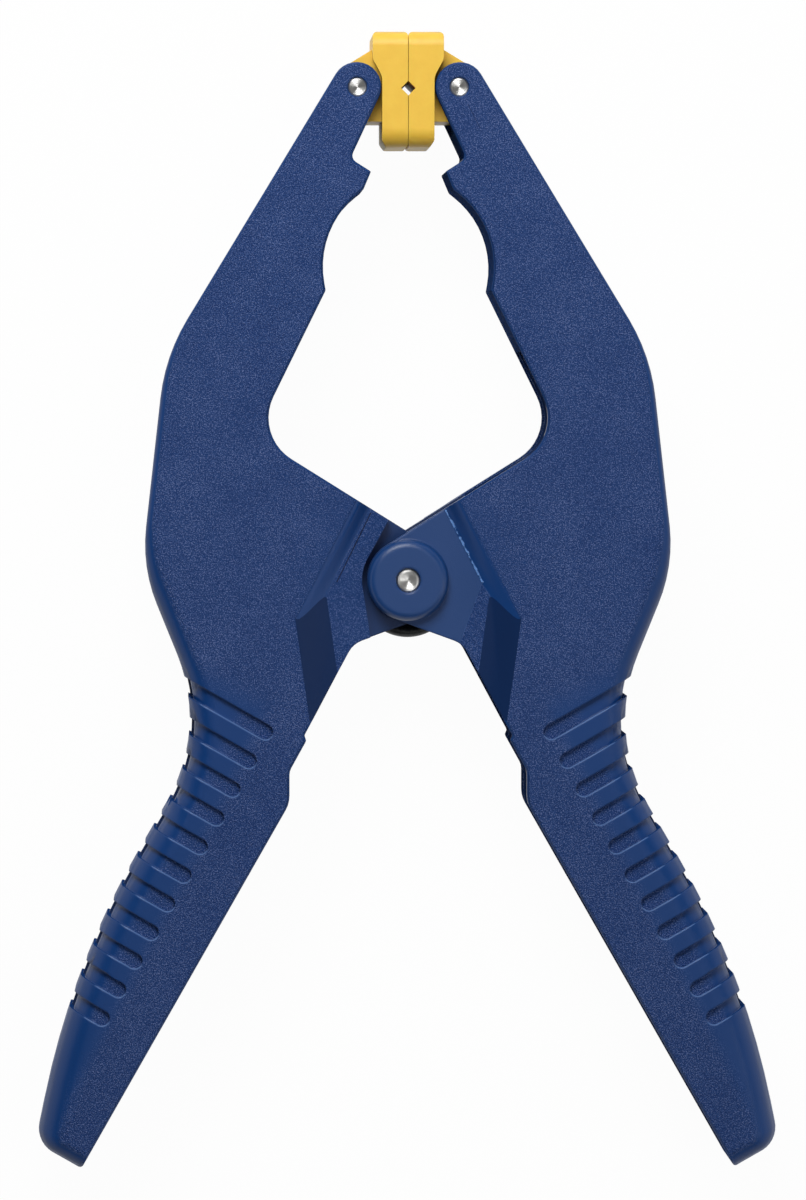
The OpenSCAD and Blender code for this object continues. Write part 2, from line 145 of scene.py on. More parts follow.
def math_node(tree: Tree, operation: str, *values: Any) -> Socket:
    """Adds a Math node.

    Args:
        tree: Node tree that gets it.
        operation: The node's operation.
        *values: Numbers or sockets, in the order of its inputs.

    Returns:
        The node's output socket.
    """
    inputs = {f"in{i}": value for i, value in enumerate(values)}
    return add_node(tree, "ShaderNodeMath", {"operation": operation}, **inputs).outputs[0]


def vector_node(tree: Tree, operation: str, *values: Any) -> Socket:
    """Adds a Vector Math node.

    Args:
        tree: Node tree that gets it.
        operation: The node's operation.
        *values: Vectors or sockets, in the order of its inputs.

    Returns:
        The output socket that the operation fills.
    """
    inputs = {f"in{i}": value for i, value in enumerate(values)}
    node = add_node(tree, "ShaderNodeVectorMath", {"operation": operation}, **inputs)
    return node.outputs["Value" if operation in ("DOT_PRODUCT", "LENGTH", "DISTANCE")
                        else "Vector"]


def soft_step(tree: Tree, value: Socket, low: float, high: float, start: Any = 0.0,
              end: Any = 1.0) -> Socket:
    """Adds a smooth step.

    Args:
        tree: Node tree that gets it.
        value: Socket that is stepped.
        low: Value at which the step begins.
        high: Value at which it ends.
        start: Number or socket that it gives at low.
        end: Number or socket that it gives at high.

    Returns:
        The stepped socket.
    """
    return add_node(tree, "ShaderNodeMapRange", {"interpolation_type": "SMOOTHSTEP"}, Value=value,
                    From_Min=low, From_Max=high, To_Min=start, To_Max=end).outputs["Result"]


def mixed_colour(tree: Tree, share: Socket, first: Any, second: Any) -> Socket:
    """Adds a Mix node from the first colour to the second one, and returns its output."""
    return add_node(tree, "ShaderNodeMix", {"data_type": "RGBA"}, Factor=share, in6=first,
                    in7=second).outputs[2]


def ramp_colour(tree: Tree, value: Socket, *stops: tuple[float, str]) -> Socket:
    """Adds a colour ramp.

    Args:
        tree: Node tree that gets it.
        value: Socket that runs over the ramp.
        *stops: Two or more pairs of place and sRGB hex colour, in rising order.

    Returns:
        The ramp's colour.
    """
    ramp = add_node(tree, "ShaderNodeValToRGB", None, Fac=value)
    marks = ramp.color_ramp.elements
    for mark, (place, code) in zip((marks[0], marks[1]), (stops[0], stops[-1])):
        mark.position, mark.color = place, linear_rgba(code)
    for place, code in stops[1:-1]:
        marks.new(place).color = linear_rgba(code)
    return ramp.outputs["Color"]


def height_of(tree: Tree, vector: Socket) -> Socket:
    """Returns how far a vector reaches up or down, without its sign."""
    parts = add_node(tree, "ShaderNodeSeparateXYZ", None, Vector=vector)
    return math_node(tree, "ABSOLUTE", parts.outputs["Z"])


def seen_directly(tree: Tree, path: bpy.types.NodeOutputs) -> Socket:
    """Tells rays that show the surroundings from those that light the clamp.

    Args:
        tree: Node tree to extend.
        path: Outputs of its Light Path node.

    Returns:
        A socket that is 1 for camera, glossy and transmission rays.
    """
    through = math_node(tree, "MAXIMUM", path["Is Glossy Ray"], path["Is Transmission Ray"])
    return math_node(tree, "MAXIMUM", path["Is Camera Ray"], through)


def new_object(name: str, mesh: bpy.types.Mesh) -> bpy.types.Object:
    """Links a new object at the origin that shows a mesh, and returns it."""
    piece = bpy.data.objects.new(name, mesh)
    bpy.context.scene.collection.objects.link(piece)
    return piece


def baked(piece: bpy.types.Object) -> bpy.types.Object:
    """Turns an object's modifiers into plain mesh.

    Args:
        piece: Object whose modifiers are to be applied.

    Returns:
        The same object, with a plain mesh and no modifiers.
    """
    bpy.context.view_layer.update()
    depsgraph = bpy.context.evaluated_depsgraph_get()
    mesh = bpy.data.meshes.new_from_object(piece.evaluated_get(depsgraph), depsgraph=depsgraph)
    piece.modifiers.clear()
    piece.data = mesh
    return piece


# ---------------------------------------------------------------- the clamp's measures


@dataclass(frozen=True)
class ClampPlan:
    """Places that several pieces share, all from the frame's joints and boxes, in metres."""

    pivot: Vector
    left_pin: Vector
    right_pin: Vector
    half_thickness: float

    @classmethod
    def from_frame(cls) -> "ClampPlan":
        """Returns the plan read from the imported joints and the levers' box."""
        places = {joint["name"]: Vector(joint["pos_m"]) for joint in frame["joints"]}
        low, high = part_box("right_lever")
        return cls(places["jaw_pivot"], places["left_pad_swivel"], places["right_pad_swivel"],
                   (high.z - low.z) / 2)


class Side(Enum):
    """The two levers: the right one is as drawn, the left one turned about the long axis."""

    RIGHT = 1
    LEFT = -1

    def place(self, pivot: Vector) -> Matrix:
        """Returns the matrix from a lever's own place, about its pivot, to the clamp."""
        turned = Matrix.Rotation(0 if self is Side.RIGHT else math.pi, 4, "Y")
        return Matrix.Translation(pivot) @ turned

    @property
    def word(self) -> str:
        """Returns the side as node names spell it."""
        return self.name.lower()


# ---------------------------------------------------------------- finishes


@dataclass(frozen=True)
class Finish:
    """A finish that makes one material."""

    name: str

    def material(self) -> bpy.types.Material:
        """Returns the finish's material, made on first use."""
        found = bpy.data.materials.get(self.name)
        if found:
            return found
        material = bpy.data.materials.new(self.name)
        material.use_nodes = True
        tree = material.node_tree
        tree.nodes.clear()
        shader = add_node(tree, "ShaderNodeBsdfPrincipled")
        add_node(tree, "ShaderNodeOutputMaterial", None, Surface=shader.outputs[0])
        self.dress(tree, shader)
        return material

    def dress(self, tree: Tree, shader: bpy.types.Node) -> None:
        """Sets the shader's sockets and patterns; each finish has its own."""
        raise NotImplementedError


@dataclass(frozen=True)
class WitnessLine:
    """A fine line that the mould's inserts leave on a flat, in plan from the pivot in mm; a dark
    tone is painted shade in its crease, a pale tone a painted highlight on its raised edge.
    """

    start: tuple[float, float]
    end: tuple[float, float]
    # Dark tones are painted shade in the crease, pale tones a painted highlight on a raised edge.
    tone: str
    width: float = 0.16
    height: float = 0.05
    strength: float = 0.8
    ragged: float = 0.0
    nibble_mm: float = 0.9

    def mask(self, tree: Tree, plan: Socket) -> Socket:
        """Masks the line.

        Args:
            tree: The material's node tree.
            plan: Socket with the place in plan, from the pivot.

        Returns:
            A socket that is 1 on the line and 0 elsewhere.
        """
        first = Vector((*self.start, 0)) * MM
        span = Vector((self.end[0] - self.start[0], self.end[1] - self.start[1], 0)) * MM
        away = vector_node(tree, "SUBTRACT", plan, tuple(first))
        share = vector_node(tree, "DOT_PRODUCT", away, tuple(span / span.length_squared))
        held = math_node(tree, "MINIMUM", math_node(tree, "MAXIMUM", share, 0.0), 1.0)
        nearest = add_node(tree, "ShaderNodeVectorMath", {"operation": "SCALE"},
                           in0=tuple(span), Scale=held).outputs["Vector"]
        gap = vector_node(tree, "DISTANCE", away, nearest)
        if self.ragged:
            nibble = add_node(tree, "ShaderNodeTexNoise", None, Vector=plan,
                              Scale=1 / (self.nibble_mm * MM), Detail=3.0).outputs["Fac"]
            gap = math_node(tree, "MULTIPLY_ADD", nibble, self.ragged * MM, gap)
        return soft_step(tree, gap, (self.width + self.ragged / 2) * MM, self.ragged / 2 * MM)


@dataclass(frozen=True)
class GripBand:
    """The ground band over a handle's ribs, outside a line in plan from the pivot in mm."""

    start: tuple[float, float]
    end: tuple[float, float]
    soft: float = 2.2
    lead: float = 9.0
    floor_shift: float = 4.5
    floor_level: float = 14.9
    floor_soft: float = 0.3

    def mask(self, tree: Tree, plan: Socket, height: Socket) -> Socket:
        """Masks the band, which lies further out on the grooves' floors.

        Args:
            tree: The material's node tree.
            plan: Socket with the place in plan, from the pivot.
            height: Socket with the distance from the mid plane.

        Returns:
            A socket that is 1 inside the band and 0 elsewhere.
        """
        first = Vector((*self.start, 0))
        way = (Vector((*self.end, 0)) - first).normalized()
        out = Vector((-way.y, way.x, 0))
        out *= math.copysign(1, out.dot(first))

        def along(axis: Vector) -> Socket:
            """Returns the distance from the line's start along an axis."""
            return math_node(tree, "SUBTRACT", vector_node(tree, "DOT_PRODUCT", plan, tuple(axis)),
                             first.dot(axis) * MM)

        on_floor = soft_step(tree, height, (self.floor_level + self.floor_soft) * MM,
                             (self.floor_level - self.floor_soft) * MM)
        past = math_node(tree, "MULTIPLY_ADD", on_floor, -self.floor_shift * MM, along(out))
        return math_node(tree, "MULTIPLY",
                         soft_step(tree, past, -self.soft * MM, self.soft * MM),
                         soft_step(tree, along(way), -self.lead * MM, 0.0))


@dataclass(frozen=True)
class GrooveRimHighlights:
    """The painted highlight on the rounded lower edges of a handle's grooves, in plan from the
    pivot in mm.

    The grooves lie at equal steps along the handle, each a slot with a round inner end.
    """

    along: tuple[float, float]
    out: tuple[float, float]
    first: float = 41.8
    pitch: float = 6.81
    count: int = 11
    half_width: float = 1.6
    end: float = 10.2
    line: float = 0.34
    level: float = 14.6
    # Pale blue of the painted highlight.
    tone: str = "#6487c2"
    strength: float = 0.75
    side_soft: float = 0.6
    level_soft: float = 0.2

    def mask(self, tree: Tree, plan: Socket, height: Socket) -> Socket:
        """Masks a fine line along the lower side and round the inner end of every groove, where
        the highlight is painted.

        Args:
            tree: The material's node tree.
            plan: Socket with the place in plan, from the pivot.
            height: Socket with the distance from the mid plane.

        Returns:
            A socket that is 1 on the painted highlight and 0 elsewhere.
        """
        def dot(axis: tuple[float, float], scale: float) -> Socket:
            """Returns the distance along an axis in the given unit."""
            return vector_node(tree, "DOT_PRODUCT", plan,
                               (axis[0] / scale, axis[1] / scale, 0.0))

        turn = math_node(tree, "SUBTRACT", dot(self.along, self.pitch * MM),
                         self.first / self.pitch)
        across = math_node(tree, "MULTIPLY", self.pitch,
                           math_node(tree, "SUBTRACT", turn, math_node(tree, "ROUND", turn)))
        inward = math_node(tree, "MAXIMUM", 0.0,
                           math_node(tree, "SUBTRACT", self.end, dot(self.out, MM)))
        reach = math_node(tree, "SQRT", math_node(
            tree, "ADD", math_node(tree, "MULTIPLY", across, across),
            math_node(tree, "MULTIPLY", inward, inward)))
        gap = math_node(tree, "ABSOLUTE", math_node(tree, "SUBTRACT", reach, self.half_width))
        middle = math_node(tree, "ABSOLUTE",
                           math_node(tree, "SUBTRACT", turn, (self.count - 1) / 2))
        rim = math_node(tree, "MULTIPLY", soft_step(tree, gap, self.line, 0.0),
                        soft_step(tree, across, -self.side_soft, self.side_soft))
        run = math_node(tree, "MULTIPLY", math_node(tree, "LESS_THAN", middle, self.count / 2),
                        soft_step(tree, height, (self.level - self.level_soft) * MM,
                                  (self.level + self.level_soft) * MM))
        return math_node(tree, "MULTIPLY", rim, run)


@dataclass(frozen=True)
class LeverResin(Finish):
    """Glass-filled nylon: a spark-eroded grain on the flats, ground smooth on the roundings.

    The grain is a random tone, and its high points are painted pale as a painted glint of the
    light they would catch. The cavity's edges were ground, so the roundings and the walls that
    face away from the pivot have a satin gloss. The walls that face it are dull.
    """

    deep: str = "#022a64"
    middle: str = "#0c3b78"
    glint_tips: str = "#6b7cae"
    smooth: str = "#103c78"
    stops: tuple[float, float, float] = (0.44, 0.56, 0.72)
    grain_mm: float = 0.24
    cloud_mm: float = 9.0
    cloud_share: float = 0.08
    pits_mm: float = 0.25
    smooth_relief: float = 0.1
    roughness: float = 0.5
    wall_gloss: float = 0.02
    outer_gloss: float = 0.4
    flat_gloss: float = 0.26
    rim_roughness: float = 0.3
    wall_roughness: float = 0.9
    flat_from: float = 0.955
    flat_below: float = 0.06
    flat_above: float = 0.035
    outer_heading: tuple[float, float] = (0.05, 0.35)
    rim_lean: tuple[float, float] = (0.2, 0.5)
    flat_lean: tuple[float, float] = (0.93, 0.99)
    gloss_lean: float = 0.4
    edge_mm: float = 0.6
    edge_samples: int = 6
    ior: float = 1.53
    worn_mm: tuple[float, float] = (16.0, 27.0)
    worn_share: float = 0.6
    grained: bool = True
    lines: tuple[WitnessLine, ...] = ()
    grip: GripBand | None = None
    rim_highlights: GrooveRimHighlights | None = None
    pivot: tuple[float, float, float] = (0.0, 0.0, 0.0)

    def grain(self, tree: Tree, place: Socket) -> tuple[Socket, Socket]:
        """Makes the spark-eroded grain.

        Args:
            tree: The material's node tree.
            place: Socket with the object coordinates.

        Returns:
            Its height, and its colour with painted glints on its high points.
        """
        height = add_node(tree, "ShaderNodeTexNoise", {"noise_dimensions": "3D"}, Vector=place,
                          Scale=1 / (self.grain_mm * MM), Detail=2.5,
                          Roughness=0.62).outputs["Fac"]
        cloud = add_node(tree, "ShaderNodeTexNoise", None, Vector=place,
                         Scale=1 / (self.cloud_mm * MM), Detail=2.0).outputs["Fac"]
        mixed = math_node(tree, "MULTIPLY_ADD", cloud, self.cloud_share, height)
        # The palest tone paints glints on the grain's high points; the others are the grain's
        # random tone.
        tones = zip(self.stops, (self.deep, self.middle, self.glint_tips))
        return height, ramp_colour(tree, mixed, *tones)

    def dress(self, tree: Tree, shader: bpy.types.Node) -> None:
        """Sets the grain, its colour, its relief and its gloss.

        Args:
            tree: The material's node tree.
            shader: Its Principled shader.
        """
        where = add_node(tree, "ShaderNodeTexCoord").outputs
        place = where["Object"]
        away = vector_node(tree, "SUBTRACT", place, self.pivot)
        plan = vector_node(tree, "MULTIPLY", away, (1.0, 1.0, 0.0))
        upright = height_of(tree, where["Normal"])
        level = height_of(tree, away)
        soft = add_node(tree, "ShaderNodeBevel", {"samples": self.edge_samples},
                        Radius=self.edge_mm * MM).outputs["Normal"]
        flat = soft_step(tree, upright, self.flat_from - self.flat_below,
                         self.flat_from + self.flat_above, end=1.0 if self.grained else 0.0)
        if self.grip:
            ground = self.grip.mask(tree, plan, level)
            flat = math_node(tree, "MULTIPLY", flat, math_node(tree, "SUBTRACT", 1.0, ground))
        grain, grain_and_glints = self.grain(tree, place)
        worn = soft_step(tree, vector_node(tree, "LENGTH", plan), self.worn_mm[0] * MM,
                         self.worn_mm[1] * MM, start=self.worn_share)
        colour = mixed_colour(tree, math_node(tree, "MULTIPLY", flat, worn),
                              linear_rgba(self.smooth), grain_and_glints)
        relief = math_node(tree, "MULTIPLY", grain, math_node(
            tree, "MULTIPLY_ADD", flat, 1 - self.smooth_relief, self.smooth_relief))
        bump = add_node(tree, "ShaderNodeBump", None, Strength=1.0, Distance=self.pits_mm * MM,
                        Height=relief, Normal=soft).outputs["Normal"]
        # Painted highlight along the grooves' lower edges.
        if self.rim_highlights:
            share = math_node(tree, "MULTIPLY", self.rim_highlights.mask(tree, plan, level),
                              self.rim_highlights.strength)
            colour = mixed_colour(tree, share, colour, linear_rgba(self.rim_highlights.tone))
        # Each line mixes in its tone over a slight bump: painted shade where the tone is dark, a
        # painted highlight where it is pale.
        for line in self.lines:
            mask = math_node(tree, "MULTIPLY", line.mask(tree, plan), upright)
            share = math_node(tree, "MULTIPLY", mask, line.strength)
            colour = mixed_colour(tree, share, colour, linear_rgba(line.tone))
            bump = add_node(tree, "ShaderNodeBump", None, Strength=1.0,
                            Distance=line.height * MM, Height=mask,
                            Normal=bump).outputs["Normal"]
        fill(tree, shader, Base_Color=colour, Normal=bump, IOR=self.ior)
        heading = vector_node(tree, "DOT_PRODUCT", where["Normal"],
                              vector_node(tree, "NORMALIZE", plan))
        self.shine(tree, shader, heading, upright, height_of(tree, soft))

    def shine(self, tree: Tree, shader: bpy.types.Node, heading: Socket, upright: Socket,
              lying: Socket) -> None:
        """Sets the roughness and the gloss of flats, roundings and walls.

        Args:
            tree: The material's node tree.
            shader: Its Principled shader.
            heading: Socket with how far the face looks away from the pivot.
            upright: Socket with how far the face looks up or down.
            lying: The same for the normal as the edges' rounding turns it.
        """
        outer = soft_step(tree, heading, *self.outer_heading)
        wall_rough = math_node(tree, "MULTIPLY_ADD", outer,
                               self.roughness - self.wall_roughness, self.wall_roughness)
        wall = soft_step(tree, lying, *self.rim_lean, wall_rough, self.rim_roughness)
        rough = soft_step(tree, lying, *self.flat_lean, wall, self.roughness)
        wall_gloss = math_node(tree, "MULTIPLY_ADD", outer, self.outer_gloss - self.wall_gloss,
                               self.wall_gloss)
        gloss = add_node(tree, "ShaderNodeMapRange", None, Value=upright,
                         From_Max=self.gloss_lean, To_Min=wall_gloss,
                         To_Max=self.flat_gloss).outputs["Result"]
        fill(tree, shader, Roughness=rough, Specular_IOR_Level=gloss)


@dataclass(frozen=True)
class PadResin(Finish):
    """Soft polyurethane, injection moulded: a warm satin yellow with slight depth."""

    colour: str = "#f6c947"
    shade: str = "#f2c342"
    roughness: float = 0.45
    ior: float = 1.5
    mottle_mm: float = 2.5
    relief_mm: float = 0.3
    relief_depth_mm: float = 0.015
    depth_share: float = 0.15
    depth_mm: tuple[float, float, float] = (1.2, 0.7, 0.2)

    def dress(self, tree: Tree, shader: bpy.types.Node) -> None:
        """Sets the yellow with a faint mottle and a fine relief.

        Args:
            tree: The material's node tree.
            shader: Its Principled shader.
        """
        place = add_node(tree, "ShaderNodeTexCoord").outputs["Object"]
        mottle = add_node(tree, "ShaderNodeTexNoise", None, Vector=place,
                          Scale=1 / (self.mottle_mm * MM), Detail=4.0, Roughness=0.6)
        colour = ramp_colour(tree, mottle.outputs["Fac"], (0.3, self.shade), (0.65, self.colour))
        fine = add_node(tree, "ShaderNodeTexNoise", None, Vector=place,
                        Scale=1 / (self.relief_mm * MM), Detail=2.0)
        bump = add_node(tree, "ShaderNodeBump", None, Strength=0.25,
                        Distance=self.relief_depth_mm * MM, Height=fine.outputs["Fac"])
        fill(tree, shader, Base_Color=colour, Normal=bump.outputs["Normal"],
             Roughness=self.roughness, IOR=self.ior, Subsurface_Weight=self.depth_share,
             Subsurface_Radius=tuple(depth * MM for depth in self.depth_mm),
             Subsurface_Scale=1.0)


@dataclass(frozen=True)
class TurnedSteel(Finish):
    """Bright free-cutting steel, turned: rings about the pin's axis that fan the light out.

    The finest rings are below what shows, so they are an anisotropy; coarser ones are relief.
    """

    axis: tuple[float, float] = (0.0, 0.0)
    tone: str = "#dcdbd8"
    roughness: float = 0.36
    anisotropy: float = 0.85
    ring_mm: float = 0.36
    ring_depth_mm: float = 0.008

    def dress(self, tree: Tree, shader: bpy.types.Node) -> None:
        """Sets the metal and the rings left by the tool.

        Args:
            tree: The material's node tree.
            shader: Its Principled shader.
        """
        place = add_node(tree, "ShaderNodeTexCoord").outputs["Object"]
        out = vector_node(tree, "SUBTRACT", place, (*self.axis, 0.0))
        flat = vector_node(tree, "MULTIPLY", out, (1.0, 1.0, 0.0))
        wave = math_node(tree, "SINE", math_node(
            tree, "MULTIPLY", vector_node(tree, "LENGTH", flat),
            2 * math.pi / (self.ring_mm * MM)))
        bump = add_node(tree, "ShaderNodeBump", None, Strength=0.8,
                        Distance=self.ring_depth_mm * MM, Height=wave)
        fill(tree, shader, Normal=bump.outputs["Normal"],
             Tangent=vector_node(tree, "NORMALIZE", flat), Base_Color=linear_rgba(self.tone),
             Metallic=1.0, Roughness=self.roughness, Anisotropic=self.anisotropy)


@dataclass(frozen=True)
class SpringWire(Finish):
    """Hard-drawn spring wire, oiled black: dark grey with a dull metal sheen."""

    colour: str = "#4b4c4c"
    scaled: str = "#2c2c2d"
    scale_mm: float = 0.8
    scale_depth_mm: float = 0.01
    metal: float = 0.85
    roughness: float = 0.38

    def dress(self, tree: Tree, shader: bpy.types.Node) -> None:
        """Sets the dark metal and its scale marks.

        Args:
            tree: The material's node tree.
            shader: Its Principled shader.
        """
        place = add_node(tree, "ShaderNodeTexCoord").outputs["Object"]
        scale = add_node(tree, "ShaderNodeTexNoise", None, Vector=place,
                         Scale=1 / (self.scale_mm * MM), Detail=5.0, Roughness=0.65)
        colour = ramp_colour(tree, scale.outputs["Fac"], (0.35, self.scaled), (0.7, self.colour))
        bump = add_node(tree, "ShaderNodeBump", None, Strength=0.3,
                        Distance=self.scale_depth_mm * MM, Height=scale.outputs["Fac"])
        fill(tree, shader, Base_Color=colour, Normal=bump.outputs["Normal"],
             Metallic=self.metal, Roughness=self.roughness)


# Smooth, ungrained inside faces, darker as painted shade for the channel and the space round the
# spring.
INNER_SHADE = LeverResin("nylon_cored", grained=False, smooth="#0c2a58", roughness=0.6,
                   flat_gloss=0.2)
# Smooth floor of the recess beside the boss, darker as painted shade cast by the flap's edge.
RECESS_SHADE = LeverResin("nylon_recess", grained=False, smooth="#103263", flat_gloss=0.34)
# Smooth foot ramps, darker as painted shade.
RAMP_SHADE = LeverResin("nylon_polished", grained=False, smooth="#142c56", flat_gloss=0.1)
SMOOTH = LeverResin("nylon_ground", grained=False, smooth="#163f78", flat_gloss=0.42)
PAD = PadResin("polyurethane_moulded")
WIRE = SpringWire("spring_wire_oiled")


# ---------------------------------------------------------------- sub-assemblies


def dressed_copy(node: str, name: str, sharp_deg: float, rounding: float = 0.0
                 ) -> bpy.types.Object:
    """Copies a CAD node as one welded mesh, smooth apart from its edges.

    Args:
        node: CAD node to copy.
        name: Name of the new piece.
        sharp_deg: Angle between faces past which an edge stays sharp.
        rounding: Rounding of its sharp edges, if any.

    Returns:
        The new piece, at the origin like the node.
    """
    mesh = frame["nodes"][node].data.copy()
    mesh.materials.clear()
    work = bmesh.new()
    work.from_mesh(mesh)
    bmesh.ops.remove_doubles(work, verts=work.verts, dist=WELD)
    bmesh.ops.dissolve_limit(work, angle_limit=math.radians(COPLANAR_DEG),
                             verts=work.verts, edges=work.edges)
    for face in work.faces:
        face.smooth = True
    work.to_mesh(mesh)
    work.free()
    mesh.set_sharp_from_angle(angle=math.radians(sharp_deg))
    piece = new_object(name, mesh)
    if rounding:
        bevel = piece.modifiers.new("rounded_edges", "BEVEL")
        bevel.width = rounding
        bevel.segments = 4
        bevel.limit_method = "ANGLE"
        bevel.angle_limit = math.radians(sharp_deg)
    weighted = piece.modifiers.new("weighted_normals", "WEIGHTED_NORMAL")
    weighted.keep_sharp = True
    return baked(piece)


class LeverSlot(IntEnum):
    """The finishes of a lever, in the order of its material slots."""

    GRAINED = 0
    GROUND = 1
    CORED_SHADE = 2
    RAMP_SHADE = 3
    RECESS_SHADE = 4


@dataclass
class Lever:
    """One moulded lever: jaw, body and ribbed handle, about its pivot as the right one lies.

    The fold is the edge at which the body steps down to the ear, and the foot is the ramp from
    the ear up to the handle. Places in plan are in mm from the pivot.
    """

    side: Side
    plan: ClampPlan
    eye_reach: float = 8.6 * MM
    ear_level: float = 12.25 * MM
    inner_level: float = 10.0 * MM
    recess_reach: float = 24.0 * MM
    recess_level: float = 9.0 * MM
    level_slack: float = 0.05 * MM
    foot_lean: float = 24.6
    foot_lean_slack: float = 2.5
    foot_heading: tuple[float, float] = (-0.2, 0.15)
    lying: float = 0.99
    sharp_deg: float = 32
    fold_top: tuple[float, float] = (7.8, 14.4)
    fold_low: tuple[float, float] = (15.4, -0.3)
    ear_low: tuple[float, float] = (11.0, -12.3)
    handle_way: tuple[float, float] = (0.4955, -0.8686)
    ground_from: tuple[tuple[float, float], ...] = ((31.1, -30.3), (62.7, -93.1))

    def witness_lines(self) -> tuple[WitnessLine, ...]:
        """Returns the lines that the mould left on this lever's upper faces, with painted shade in
        the dark ones and a painted highlight in the pale ones.
        """
        if self.side is Side.LEFT:
            # Dark crease at the left fold: painted shade.
            return (WitnessLine((-7.7, 13.9), (-14.7, -0.3), "#06122c", width=0.2, strength=1.0),
                    WitnessLine((-48.0, 49.4), (-27.0, 49.4), "#2c4a80", width=0.5,
                                height=0.02, strength=0.3))
        # Flash at the right fold: a real raised ridge, with a painted highlight on it.
        return (WitnessLine(self.fold_top, self.fold_low, "#6d9bdc", width=0.26, height=0.12,
                            strength=1.0, ragged=1.2),
                # Thin pale line below it: painted highlight.
                WitnessLine(self.fold_low, self.ear_low, "#4668a6"),
                WitnessLine((12.3, 98.2), (14.8, 93.4), "#10214a", width=0.12),
                WitnessLine((27.0, 49.4), (48.0, 49.4), "#2c4a80", width=0.5, height=0.02,
                            strength=0.3))

    def build(self) -> None:
        """Makes the dressed lever in place of its CAD node."""
        word = self.side.word
        piece = dressed_copy(f"{word}_lever", f"{word}_lever_moulding",
                             self.sharp_deg)
        across = self.side.value
        band = GripBand(*((x * across, y) for x, y in self.ground_from))
        rim_highlights = GrooveRimHighlights((self.handle_way[0] * across, self.handle_way[1]),
                          (-self.handle_way[1] * across, self.handle_way[0]))
        grained = LeverResin(f"nylon_spark_eroded_{word}", lines=self.witness_lines(),
                             grip=band, rim_highlights=rim_highlights, pivot=tuple(self.plan.pivot))
        for finish in (grained, SMOOTH, INNER_SHADE, RAMP_SHADE, RECESS_SHADE):
            piece.data.materials.append(finish.material())
        self.mark_finishes(piece)
        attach(piece, f"{word}_arm")
        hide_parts(f"{word}_lever")
        LOG.info("lever %s: %d faces", word, len(piece.data.polygons))

    def in_ear(self, x: float, y: float) -> bool:
        """Tells whether a place of the plan lies inside the ear's ground zone.

        Args:
            x: Distance out from the pivot.
            y: Distance along the clamp from the pivot.

        Returns:
            True on the pivot's side of both of the zone's edges.
        """
        def inside(start: tuple[float, float], end: tuple[float, float]) -> bool:
            """Tells on which side of one edge the place lies."""
            return ((end[0] - start[0]) * (y / MM - start[1])
                    - (end[1] - start[1]) * (x / MM - start[0])) <= 0
        return inside(self.fold_top, self.fold_low) and inside(self.fold_low, self.ear_low)

    def on_foot_ramp(self, normal: Vector, height: float) -> bool:
        """Tells whether a face belongs to the ramp that rises to the handle's wall.

        Args:
            normal: The face's normal, about the pivot.
            height: The height of its middle.

        Returns:
            True where it leans like the ramp, between the ear's level and the wall's.
        """
        lean = math.degrees(math.acos(min(1.0, abs(normal.z))))
        return (abs(height) > self.ear_level and abs(lean - self.foot_lean) < self.foot_lean_slack
                and normal.x < self.foot_heading[0]
                and abs(normal.y) < self.foot_heading[1])

    def mark_finishes(self, piece: bpy.types.Object) -> None:
        """Gives the boss and the ear their ground finish, and the cored inside, the recess beside
        the boss and the steep ramp their darker finishes of painted shade.

        Args:
            piece: The lever, with its finishes in the order of LeverSlot.
        """
        place = self.side.place(self.plan.pivot)
        home = place.inverted()
        work = bmesh.new()
        work.from_mesh(piece.data)
        for start, end in ((self.fold_top, self.fold_low), (self.fold_low, self.ear_low)):
            flat = [face for face in work.faces
                    if abs((home @ face.calc_center_median()).z - self.ear_level) < 0.01 * MM]
            span = Vector((end[0] - start[0], end[1] - start[1], 0))
            across = Vector((span.y, -span.x, 0)).normalized()
            middle = place @ (Vector((*start, 0)) * MM)
            parts = {part for face in flat for part in (face, *face.edges, *face.verts)}
            bmesh.ops.bisect_plane(work, geom=list(parts), dist=0.001 * MM, plane_co=middle,
                                   plane_no=place.to_3x3() @ across)
        for face in work.faces:
            middle = home @ face.calc_center_median()
            normal = home.to_3x3() @ face.normal
            reach = math.hypot(middle.x, middle.y)
            ear = (abs(middle.z - self.ear_level) < self.level_slack
                   and self.in_ear(middle.x, middle.y))
            boss = reach < self.eye_reach and middle.z > self.ear_level - 2 * self.level_slack
            if ear or boss:
                face.material_index = LeverSlot.GROUND
            # Inside flats are darker as painted shade; the recess beside the boss gets a lighter
            # painted shade.
            elif normal.z ** 2 > self.lying and abs(middle.z) < self.inner_level:
                near = reach < self.recess_reach and abs(middle.z) > self.recess_level
                face.material_index = LeverSlot.RECESS_SHADE if near else LeverSlot.CORED_SHADE
            # The steep foot ramp is darker as painted shade.
            elif self.on_foot_ramp(normal, middle.z):
                face.material_index = LeverSlot.RAMP_SHADE
        work.to_mesh(piece.data)
        work.free()


@dataclass
class Pad:
    """One swivelling jaw pad."""

    side: Side
    rounding: float = 0.7 * MM
    sharp_deg: float = 40

    def build(self) -> None:
        """Makes the dressed pad in place of its CAD node."""
        word = self.side.word
        piece = dressed_copy(f"{word}_pad", f"{word}_pad_moulding", self.sharp_deg,
                             self.rounding)
        piece.data.materials.append(PAD.material())
        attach(piece, f"{word}_pad")
        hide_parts(f"{word}_pad")
        LOG.info("pad %s: %d faces", word, len(piece.data.polygons))


